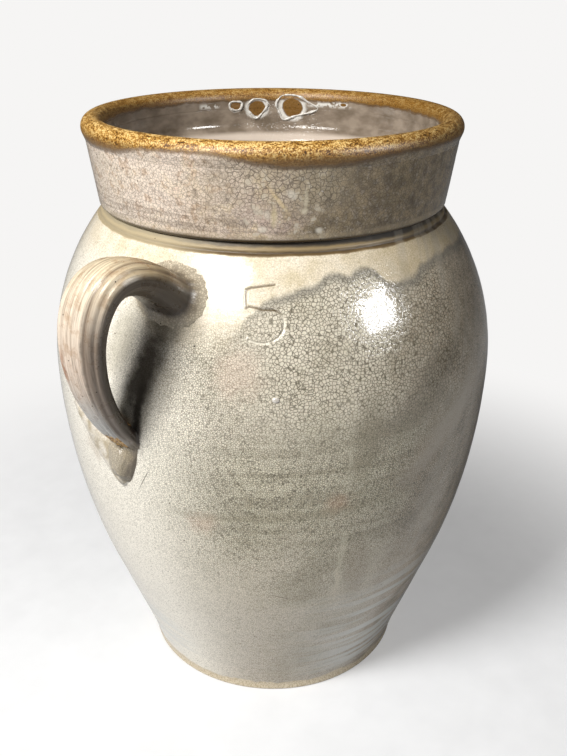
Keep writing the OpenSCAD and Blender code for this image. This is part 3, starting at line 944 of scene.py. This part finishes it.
# A run of glaze
colour = layer(colour, "#e0d8c2", 0.3, (lane, 1.5, 0.2), (height, 95.0, 125.0), (height, 340.0, 300.0),
    (drift, 0.42, 0.55))
smear_tone = blend(fine_crack, hue("#bbaf98"), "#5a4f40", 0.5)
blushes = [((43.5, -151.9, 203.0), 7.0, 0.3, "#c08f70"), ((-41.0, -150.5, 187.0), 7.0, 0.25, "#c79c82"),
           ((-20.0, -148.0, 292.0), 14.0, 0.22, "#d8b9a6"), ((-112.0, -103.0, 222.0), 10.0, 0.5, "#a08d76"),
           ((-57.0, -128.0, 329.0), 23.0, 0.8, smear_tone)]
for centre, size, strength, tint in blushes:
    gap = add(VECTOR, point, centre, out=1, operation="DISTANCE")
    gap = add(TIMES_PLUS, cloud, 22.0, gap)
    near = add(EASED, gap, size + 18, size + 4, 0.0, strength)
    colour = blend(near, colour, tint)
dull = near  # the last one is the smear at the handle's root, which has little gloss
# Painted shadow: the dark strokes at turns -37 to -25 and 243 to 319 mm high paint the handle's shadow on the
# wall and the shade under its root and along its inner edge
# Turn in degrees, height in mm, tilt in degrees, half length and half width in mm, strength, colour
strokes = [
    (23, 140, 96, 38, 12, 0.28, "#75654e"), (-27, 275, 72, 44, 16, 0.35, "#7d7566"),
    (-25.8, 319, 40, 9, 6, 0.8, "#2a231c"), (-31, 260, 80, 28, 4.5, 0.9, "#1f1a15"),
    (38, 268, 38, 62, 17, 0.4, "#5d5443"), (46, 236, 38, 58, 13, 0.55, "#b7ad9e"),
    (22, 250, 80, 40, 14, 0.4, "#6d654f"), (-37, 303, 75, 30, 14, 0.5, "#9a937f"),
    (-30, 283, 70, 48, 11, 0.9, "#38312a"), (6, 196, 3, 90, 5, 0.35, "#6f6851"),
    (-31.6, 243, 78, 24, 3.6, 0.9, "#2a241d"), (3, 121.4, -20, 12, 0.35, 0.8, "#4a4033"),
    (-30.7, 211.5, 61, 13, 0.4, 0.8, "#4a4033")]
colour = brush(colour, point, turn, height, body_degree, cloud, strokes)
incised = add("ShaderNodeAttribute", out="Fac", attribute_name="incised")
# The mark is dark above; below it is pale, partly glaze filling the groove and partly a painted highlight
# where it catches the light
fill_and_glint = blend(add(EASED, height, 327.0, 322.0), hue("#57482f"), "#e6dfcf")
colour = blend(incised, colour, fill_and_glint, 0.8)

# %% Ash glaze: gloss and relief
gloss = add(RANGE, cloud, 0.3, 0.7, 0.02, 0.06)
for zone, rougher in ((lower, 0.12), (in_groove, 0.35), (dull, 0.4), (cream, 0.1)):
    gloss = add(TIMES_PLUS, zone, rougher, gloss)
peel = add(NOISE, {"Vector": point, "Scale": 1 / 9, "Detail": 2.0})
relief = add(TIMES_PLUS, dirt, -0.12, peel)
end_glaze(colour, gloss, relief, 0.22 * MM, IOR=1.55)
print("crazed_ash_glaze:", len(trees[-1].nodes), "nodes")

# %% [markdown]
# ## Where the glaze stops at the rim
# The rim was wiped clean before firing, so that a lid would not stick. The wiped edge wanders: it dips
# below the rim at the front and climbs onto it at the sides, and inside it follows the windows. The collar
# and the rim share this line and the coat below it, so one function paints both and the joint between them
# doesn't show.

# %% Clay line
# Bare spots inside: degrees from the back, height in mm, half width and half height in mm
bare_spots = [(-7.2, 405.6, 6.8, 5.8), (6.9, 406.6, 7.9, 7.6), (-15.9, 407.6, 4.0, 3.4),
              (28.4, 409.8, 2.6, 1.2)]


def clay_line(point, turn, height, radius, cloud):
    """How bare the clay is, from 0 to 1, how inside a point is, and how white the thick glaze edges are."""
    around = add(RANGE, turn, -180.0, 180.0)
    line = add(CURVE, {"Value": around}, stops=[(0, 0.6), (0.3, 0.5), (0.343, 0.46), (0.408, 0.68),
        (0.45, 0.73), (0.472, 0.64), (0.5, 0.5), (0.521, 0.45), (0.543, 0.46), (0.582, 0.58),
        (0.622, 0.64), (0.67, 0.62), (0.8, 0.45), (1, 0.6)])
    line = add(TIMES_PLUS, line, 25.0, 393.0)
    line = add(TIMES_PLUS, cloud, 4.0, line)
    outer = add(EASED, add(MINUS, height, line), -2.0, 2.4)
    line = add(TIMES_PLUS, cloud, 6.0, 408.5)
    inner = add(EASED, add(MINUS, height, line), -1.2, 1.4)
    inside = add(EASED, radius, 118.0, 116.0)
    part = add(SPLIT, point).node.outputs
    behind = add(MATH, add(MATH, part["X"], part["Y"], operation="ARCTAN2"), operation="DEGREES")
    nearest = None
    for back_turn, middle, wide, tall in bare_spots:
        sideways = add(MINUS, behind, back_turn)
        sideways = add(TIMES, sideways, math.radians(mouth_radius / MM) / wide)
        lift = add(TIMES, add(MINUS, height, middle), 1 / tall)
        gap = add(VECTOR, add(JOIN, sideways, lift), out=1, operation="LENGTH")
        nearest = gap if nearest is None else add(MATH, gap, nearest, operation="MINIMUM")
    nearest = add(TIMES_PLUS, cloud, 0.6, nearest)
    white = add(EASED, nearest, 1.9, 1.45)
    flecks = add(NOISE, {"Vector": point, "Scale": 1 / 4, "Detail": 2.0})
    for middle, half, low, high in ((22.0, 11.0, 406.0, 416.0), (-27.0, 5.0, 405.0, 411.0)):
        beside = add(MATH, add(MINUS, behind, middle), operation="ABSOLUTE")
        patch = window_of([(beside, half, half * 0.6), (height, low, low + 3), (height, high, high - 3),
            (flecks, 0.43, 0.52)])
        white = add(MATH, white, patch, operation="MAXIMUM")
    white = add(TIMES, white, inside)
    spot = add(EASED, nearest, 1.35, 1.2)
    bare = add(MIX, {0: inside, 2: outer, 3: add(MATH, inner, spot, operation="MAXIMUM")})
    return bare, inside, white


# %% [markdown]
# ## The collar's taupe glaze and the rim's bare clay
# The collar took a thinner, pinker coat with fine crackle. At the front the crackle is coarser and pale
# blisters show in it, tan and rusty clouds lie on the left and the right side is olive brown; painted
# light makes it paler on the left, and painted shade darkens the line under its foot. Inside, the same
# glaze is greyer, and the lid's ledge, which faces up, is painted paler as light. The bare clay is ochre
# with a sandy grain, brown stains and dark grit, with painted shade on its lower roll and its right side.

# %% Collar and rim
def collar_coat(material, relief_depth):
    """Paints the collar's glaze, the glaze inside the mouth and the bare clay above the line."""
    start_shader(material)
    point, turn, height, radius = jar_space()
    cloud = add(NOISE, {"Vector": point, "Scale": 1 / 13, "Detail": 4.0, "Roughness": 0.6})
    patch = add(NOISE, {"Vector": point, "Scale": 1 / 6, "Detail": 2.0})
    sand = add(NOISE, {"Vector": point, "Scale": 1 / 0.9, "Detail": 1.0})
    brushed = add(VECTOR, point, (0.025, 0.025, 0.55), operation="MULTIPLY")
    brushed = add(NOISE, {"Vector": brushed, "Scale": 1.0, "Detail": 3.0})
    crack = crazing(point, 3.0, 2.6, 0.1)[0]
    fine_crack = crazing(point, 2.3, 1.6, 0.13)[0]
    mottle = add(NOISE, {"Vector": point, "Scale": 1 / 3.0, "Detail": 4.0, "Roughness": 0.75})

    colour = add(RAMP, cloud, stops=[(0.3, "#a3917f"), (0.42, "#c6b3a2"), (0.52, "#d3bfae"),
        (0.6, "#dec8a5"), (0.7, "#cfab92")])
    zone = add(NOISE, {"Vector": point, "Scale": 1 / 30, "Detail": 3.0})
    colour = layer(colour, "#a08c69", 0.6, (zone, 0.48, 0.62))  # tan zones
    colour = layer(colour, "#b59c93", 0.5, (zone, 0.46, 0.36))  # pink zones
    colour = blend(add(EASED, turn, 0.0, -36.0, 0.05, 0.72), colour, "#f1e2d1")  # painted light: paler on the left, towards the lamps
    colour = layer(colour, "#b48a5e", 0.35, (patch, 0.53, 0.66))  # tawny patches
    low_down = add(EASED, height, 390.0, 374.0)
    lines = add(TIMES, add(RANGE, brushed, 0.45, 0.62), low_down)
    colour = blend(lines, colour, "#7d6f61", 0.5)
    olive = add(TIMES_PLUS, cloud, 26.0, turn)
    olive = add(EASED, olive, 9.0, 29.0, 0.0, 0.9)
    colour = blend(olive, colour, add(RAMP, patch, stops=[(0.35, "#61563f"), (0.5, "#7f7156"),
        (0.65, "#9d8d6e")]))
    colour = layer(colour, "#75644f", 0.45, (mottle, 0.5, 0.68), kind=RANGE)  # dark mottle
    colour = layer(colour, "#e3d6c5", 0.35, (mottle, 0.48, 0.34), kind=RANGE)  # pale mottle
    colour = layer(colour, "#453a30", 0.5, (fine_crack, 0.0, 1.0), kind=RANGE)  # fine cracks
    colour = layer(colour, "#4a3d33", 0.45, (sand, 0.5, 0.72), kind=RANGE)  # sand
    aside = add(MATH, add(MINUS, turn, 3.0), operation="ABSOLUTE")
    colour = layer(colour, "#cdc5b5", 0.6, (aside, 15.0, 8.0), (patch, 0.56, 0.66))  # pale blisters
    front_zone = window_of([(aside, 24.0, 12.0), (height, 376.0, 388.0)])
    colour = blend(front_zone, colour, "#b9ac94", 0.35)
    dirt = add(TIMES, crack, front_zone)
    colour = blend(dirt, colour, "#3f352c", 0.65)
    drips = [
        (2.1, 387.7, -53, 13.5, 1.7, 0.6, "#d3bd92"), (1.0, 378, 90, 8, 2.6, 0.5, "#c8b98f"),
        (9.5, 387.5, 90, 9, 1.7, 0.6, "#cfc4ab"), (13.5, 369, 0, 3.2, 2.6, 0.7, "#ded8ca"),
        (9, 381, 0, 2.6, 2.4, 0.6, "#d2c8b0"), (-2.3, 370, 0, 3.4, 2.4, 0.6, "#d8d0c0"),
        (5.7, 391, -40, 4, 2.8, 0.6, "#d5cdbe"), (-0.9, 379, 90, 3.4, 2.4, 0.5, "#cfc6b5")]
    colour = brush(colour, point, turn, height, collar_degree, cloud, drips)
    colour = layer(colour, "#b5a588", 0.3, (height, 368.0, 366.0))  # pale foot of the collar
    colour = blend(add(EASED, height, 364.6, 362.6), colour, "#453a2b")  # painted shade: dark line under the collar's foot, where it overhangs the shoulder

    bare, inside, white = clay_line(point, turn, height, radius, cloud)
    streaked = add(VECTOR, point, (0.07, 0.07, 0.12), operation="MULTIPLY")
    streaked = add(NOISE, {"Vector": streaked, "Scale": 1.0, "Detail": 3.0})
    grey = add(RAMP, streaked, stops=[(0.35, "#746758"), (0.5, "#87796a"), (0.65, "#9a8c7c")])
    grey = layer(grey, "#d3c4b5", 0.85, (height, 389.0, 385.0))  # painted light: the ledge faces up and is painted paler
    colour = blend(inside, colour, grey)
    colour = blend(white, colour, "#e0dcd4")

    rolled = [add(TIMES, value, scale) for value, scale in ((turn, 0.38), (height, 0.4), (radius, 0.4))]
    rolled = add(JOIN, *rolled)
    rolled = add(NOISE, {"Vector": rolled, "Scale": 1.0, "Detail": 4.0, "Roughness": 0.7})
    ochre = add(RAMP, add(MIX, {0: 0.45, 2: rolled, 3: sand}), stops=[(0.36, "#3a2409"),
        (0.44, "#7d541c"), (0.51, "#b98a40"), (0.585, "#efce8a")])
    low_stain_and_shade = add(TIMES_PLUS, rolled, -14.0, height)
    ochre = layer(ochre, "#6b4c20", 0.88, (low_stain_and_shade, 411.0, 402.0))  # brown stain low on the rim, with painted shade where the roll turns down
    ochre = layer(ochre, "#5f4318", 0.35, (turn, 15.0, 50.0))  # painted shade: darker on the right side, away from the lamps
    depth = add(SPLIT, point, out="Y")
    ochre = layer(ochre, "#7a5318", 0.5, (depth, -60.0, 50.0))  # darker at the back
    grit = add(CELLS, {"Vector": point, "Scale": 1 / 2.6})
    ochre = layer(ochre, "#2a1c0a", 0.85, (grit, 0.22, 0.1))  # dark grit
    rest = add(MINUS, 1.0, bare)
    outline = add(TIMES, add(TIMES, bare, rest), 2.0)
    colour = blend(bare, colour, ochre)
    colour = blend(outline, colour, "#4a3520")
    gloss = add(RANGE, bare, 0.0, 1.0, 0.12, 0.42)
    glazed = add(TIMES_PLUS, dirt, -0.4, cloud)
    end_glaze(colour, gloss, add(MIX, {0: bare, 2: glazed, 3: rolled}), relief_depth, IOR=1.53)
    print(material.name + ":", len(trees[-1].nodes), "nodes")


collar_coat(collar_glaze, 0.25 * MM)
collar_coat(bare_clay, 0.3 * MM)

# %% [markdown]
# ## The strap's thin glaze
# On the handles the glaze ran thin over the ribs, so the clay shows through in streaks along the strap:
# dark in the hollows, pale pinkish on the ridges, bluish where it is thickest low down. The streaks follow
# the strap, so they use the coordinates that the strap's own tree stored: across, along and the face. The
# flared root, the pressed tab and the thumb's smear have tones of their own, with fine crackle. Painted
# shade darkens the strap's right side and inner flank, the flare next to the strap, the tab's right side
# and the crease where the tab meets the wall.

# %% Handle glaze: base along the strap and fibres
start_shader(handle_glaze)
point = jar_space()[0]
lane = add(SPLIT, add("ShaderNodeAttribute", out="Vector", attribute_name="strap")).node.outputs
side, along, face = lane["X"], lane["Y"], lane["Z"]
hollow = add("ShaderNodeAttribute", out="Fac", attribute_name="hollow")
cloud = add(NOISE, {"Vector": point, "Scale": 1 / 9, "Detail": 4.0, "Roughness": 0.6})
fibres = []
for across, run_length in ((330.0, 6.0), (900.0, 18.0), (2000.0, 60.0)):
    stretched = add(JOIN, add(TIMES, side, across), add(TIMES, along, run_length),
        add(TIMES, face, across * 0.006))
    fibres.append(add(NOISE, {"Vector": stretched, "Scale": 1.0, "Detail": 3.0, "Roughness": 0.6}))
colour = add(RAMP, add(RANGE, along, 0.0, 0.22), stops=[(0.05, "#7b705d"), (0.12, "#93846a"),
    (0.18, "#c9b48d"), (0.25, "#e8d8b9"), (0.35, "#eedfca"), (0.5, "#e6d3c0"), (0.62, "#d8cbbd"),
    (0.74, "#c3beb6")])
stains = ((0.52, 0.34, 0.36, "#86705a"), (0.52, 0.66, 0.42, "#6f553e"), (0.5, 0.66, 0.45, "#5a442f"))
for fibre, (start, full, strength, tint) in zip(fibres, stains):
    colour = layer(colour, tint, strength, (fibre, start, full), kind=RANGE)
colour = layer(colour, "#a88562", 0.5, (cloud, 0.48, 0.66), kind=RANGE)  # tan clouds

# %% Handle glaze: hollows, flank and low end
colour = layer(colour, "#5c4736", 0.6, (hollow, 0.35, 0.8))  # dark hollows
swayed = add(TIMES_PLUS, cloud, 0.004, side)
# Shaded side
colour = layer(colour, "#5a4a3a", 0.8, (swayed, -0.0035, -0.006), (along, 0.2, 0.165), (along, 0.05, 0.1))
colour = layer(colour, "#31271d", 0.88, (face, 0.5, 0.05))  # painted shade on the strap's inner flank
# Thick bluish glaze
colour = layer(colour, "#c3c4c2", 0.6, (along, 0.125, 0.158), (along, 0.192, 0.178),
    (swayed, -0.009, -0.003))
# Rusty spot
colour = layer(colour, "#9a6a48", 0.8, (along, 0.098, 0.112), (along, 0.128, 0.118), (side, 0.006, 0.01),
    (cloud, 0.4, 0.5))
fine_crack = crazing(point, 1.6, 0.7, 0.35)[0]
cracked = add(TIMES, fine_crack, 0.5)
flared = add("ShaderNodeAttribute", out="Fac", attribute_name="flare")
flared = add(MATH, add(RANGE, cloud, 0.0, 1.0, -0.3, 0.3), flared)
# The flare is darker next to the strap, partly dirt in its crackle and partly painted shade
flare_tone_and_shade = add(RAMP, flared, stops=[(0.2, "#594e3f"), (0.4, "#7f7362"), (0.65, "#a99c86"),
    (0.97, "#cdc1aa")])
rooted = add(EASED, flared, 0.1, 0.4)
colour = blend(rooted, colour, blend(cracked, flare_tone_and_shade, "#453b30"))
pressed = add(EASED, along, 0.178, 0.184)
# The tab's tone, with painted shade darkening its right side, away from the lamps
tab_tone_and_shade = add(RAMP, add(RANGE, swayed, -0.008, 0.006), stops=[(0.2, "#7b705f"), (0.5, "#a0957f"),
    (0.8, "#bbb09c")])
colour = blend(pressed, colour, blend(cracked, tab_tone_and_shade, "#554c3f"))
# Painted shade: the crease where the strap's lower end meets the wall on its right side
tab_crease_shade = window_of([(face, 0.3, 0.05), (side, -0.001, -0.003), (along, 0.15, 0.165)])
colour = blend(tab_crease_shade, colour, "#3a3027", 0.85)
flange = add(EASED, along, 0.23, 0.24)
flange_tone = add(RAMP, cloud, stops=[(0.38, "#b9ab91"), (0.5, "#d9cfbc"), (0.62, "#ebe3d5")])
colour = blend(flange, colour, blend(cracked, flange_tone, "#6a604f", 0.6))
grit = add(NOISE, {"Vector": point, "Scale": 1 / 1.3, "Detail": 1.0})
bare = window_of([(along, 0.17, 0.173), (along, 0.189, 0.185), (side, -0.007, -0.005),
    (side, 0.006, 0.0045)])
colour = blend(bare, colour, add(RAMP, grit, stops=[(0.35, "#5a3d14"), (0.5, "#b88638"),
    (0.65, "#e2bb74")]))
gloss = add(RANGE, cloud, 0.35, 0.65, 0.42, 0.22)
end_glaze(colour, gloss, fibres[1], 0.4 * MM, IOR=1.55)
print("thin_glaze_on_strap:", len(trees[-1].nodes), "nodes")

# %% [markdown]
# ## Thick white glaze and iron
# Thick glaze stays milky white, with a little grey where it thins. The iron spots are nearly black with a
# brown edge.

# %% White glaze and iron
for material, tones, grit in ((white_glaze, [(0.35, "#b9b2a8"), (0.6, "#dcd8d1")], 2.5),
                              (iron, [(0.3, "#2a2018"), (0.7, "#5a4630")], 1.5)):
    start_shader(material)
    point = jar_space()[0]
    cloud = add(NOISE, {"Vector": point, "Scale": 1 / grit, "Detail": 3.0})
    end_glaze(add(RAMP, cloud, stops=tones), add(RANGE, cloud, 0.0, 1.0, 0.12, 0.24), cloud, 0.2 * MM,
        IOR=1.55)
    print(material.name + ":", len(trees[-1].nodes), "nodes")

# %% [markdown]
# ## Camera, light and table
# The camera stands where the picture was taken, a little above the mouth and looking down. The window at
# the front left is two lamps: a smaller one lights the jar and throws the handle's firm shadow, and a
# wider one only shows as a reflection. The window on the right is only a reflection too, and a faint fill
# keeps that side readable. The table is plain and pale.

# %% Camera
image_height, focal_pixels = 756, 874.0
eye = Vector((-0.5271, -0.3135, 0.5053))
pitch, roll_angle = math.radians(24.985), math.radians(0.264)
ahead = Vector((-math.sin(front), math.cos(front), 0))
looking = ahead * math.cos(pitch) - rise * math.sin(pitch)
right = looking.cross(rise).normalized()
upright = right.cross(looking)
right, upright = (right * math.cos(roll_angle) + upright * math.sin(roll_angle),
                  upright * math.cos(roll_angle) - right * math.sin(roll_angle))
lens = bpy.data.cameras.new("camera")
lens.sensor_fit, lens.sensor_height = "VERTICAL", 36.0
lens.lens = focal_pixels / image_height * lens.sensor_height
lens.clip_end = 100
camera = bpy.data.objects.new("camera", lens)
bpy.context.scene.collection.objects.link(camera)
camera.matrix_world = Matrix.Translation(eye) @ Matrix((right, upright, -looking)).transposed().to_4x4()
bpy.context.scene.camera = camera
print("camera lens %.2f mm" % lens.lens)


# %% Lights
def soft_box(name, turn, lift, distance, width, tall, watts, tint, unseen):
    """A rectangular lamp aimed at the jar, left out of either the diffuse or the glossy rays."""
    lamp = bpy.data.lights.new(name, "AREA")
    lamp.shape, lamp.size, lamp.size_y = "RECTANGLE", width, tall
    lamp.energy, lamp.color = watts, hue(tint)[:3]
    a, e = front + math.radians(turn), math.radians(lift)
    towards = Vector((math.sin(a) * math.cos(e), -math.cos(a) * math.cos(e), math.sin(e)))
    box = bpy.data.objects.new(name, lamp)
    bpy.context.scene.collection.objects.link(box)
    box.location = aim + towards * distance
    box.rotation_euler = towards.to_track_quat("Z", "Y").to_euler()
    setattr(box, "visible_" + unseen, False)
    print("%s: %.1f W, no %s rays" % (name, watts, unseen))


aim = Vector((0, 0, 0.22))
soft_box("left_window", -43, 44, 1.7, 0.5, 0.45, 38.5, "#fffefc", "glossy")
soft_box("left_panel", -35, 44, 1.7, 0.8, 0.65, 32, "#fffefc", "diffuse")
soft_box("right_window", 57, 25.5, 1.4, 0.44, 0.37, 12, "#ffffff", "diffuse")
soft_box("right_fill", 50, 30, 1.7, 1.0, 0.8, 4.6, "#ffffff", "glossy")
world = bpy.data.worlds.new("room")
bpy.context.scene.world = world
start_shader(world)
backdrop = hue("#f6f5f4")
seen = add("ShaderNodeLightPath", out="Is Camera Ray")
strength = add(RANGE, seen, 0.0, 1.0, 0.055, 1.0)
sky = add("ShaderNodeBackground", {"Color": backdrop, "Strength": strength})
add("ShaderNodeOutputWorld", {"Surface": sky})

# %% Table
# Near the jar the table is lit with it, with a little white added for the camera; farther off it is white
paper = bpy.data.materials.new("matt_white_table")
start_shader(paper)
held = add("ShaderNodeTexCoord", out="Object")
mottle = add(NOISE, {"Vector": held, "Scale": 30.0, "Detail": 4.0})
colour = add(RAMP, mottle, stops=[(0.3, "#c4c5c7"), (0.7, "#cbccce")])
plain = add("ShaderNodeBsdfDiffuse", {"Color": colour})
seen = add("ShaderNodeLightPath", out="Is Camera Ray")
lift = add(TIMES, seen, 0.32)
lifted = add("ShaderNodeEmission", {"Color": backdrop, "Strength": lift})
near = add("ShaderNodeAddShader", plain, lifted)
far = add(EASED, add(VECTOR, held, out=1, operation="LENGTH"), 0.2, 0.6)
white_far = add("ShaderNodeEmission", {"Color": backdrop, "Strength": 1.0})
surface = add("ShaderNodeMixShader", add(TIMES, far, seen), near, white_far)
add("ShaderNodeOutputMaterial", {"Surface": surface})
table_mesh = bpy.data.meshes.new("table")
disc = bmesh.new()
bmesh.ops.create_circle(disc, cap_ends=True, segments=96, radius=25.0)
disc.to_mesh(table_mesh)
disc.free()
table_mesh.materials.append(paper)
table = bpy.data.objects.new("table", table_mesh)
bpy.context.scene.collection.objects.link(table)

# %% Finish
bpy.context.scene.view_settings.view_transform = "Standard"
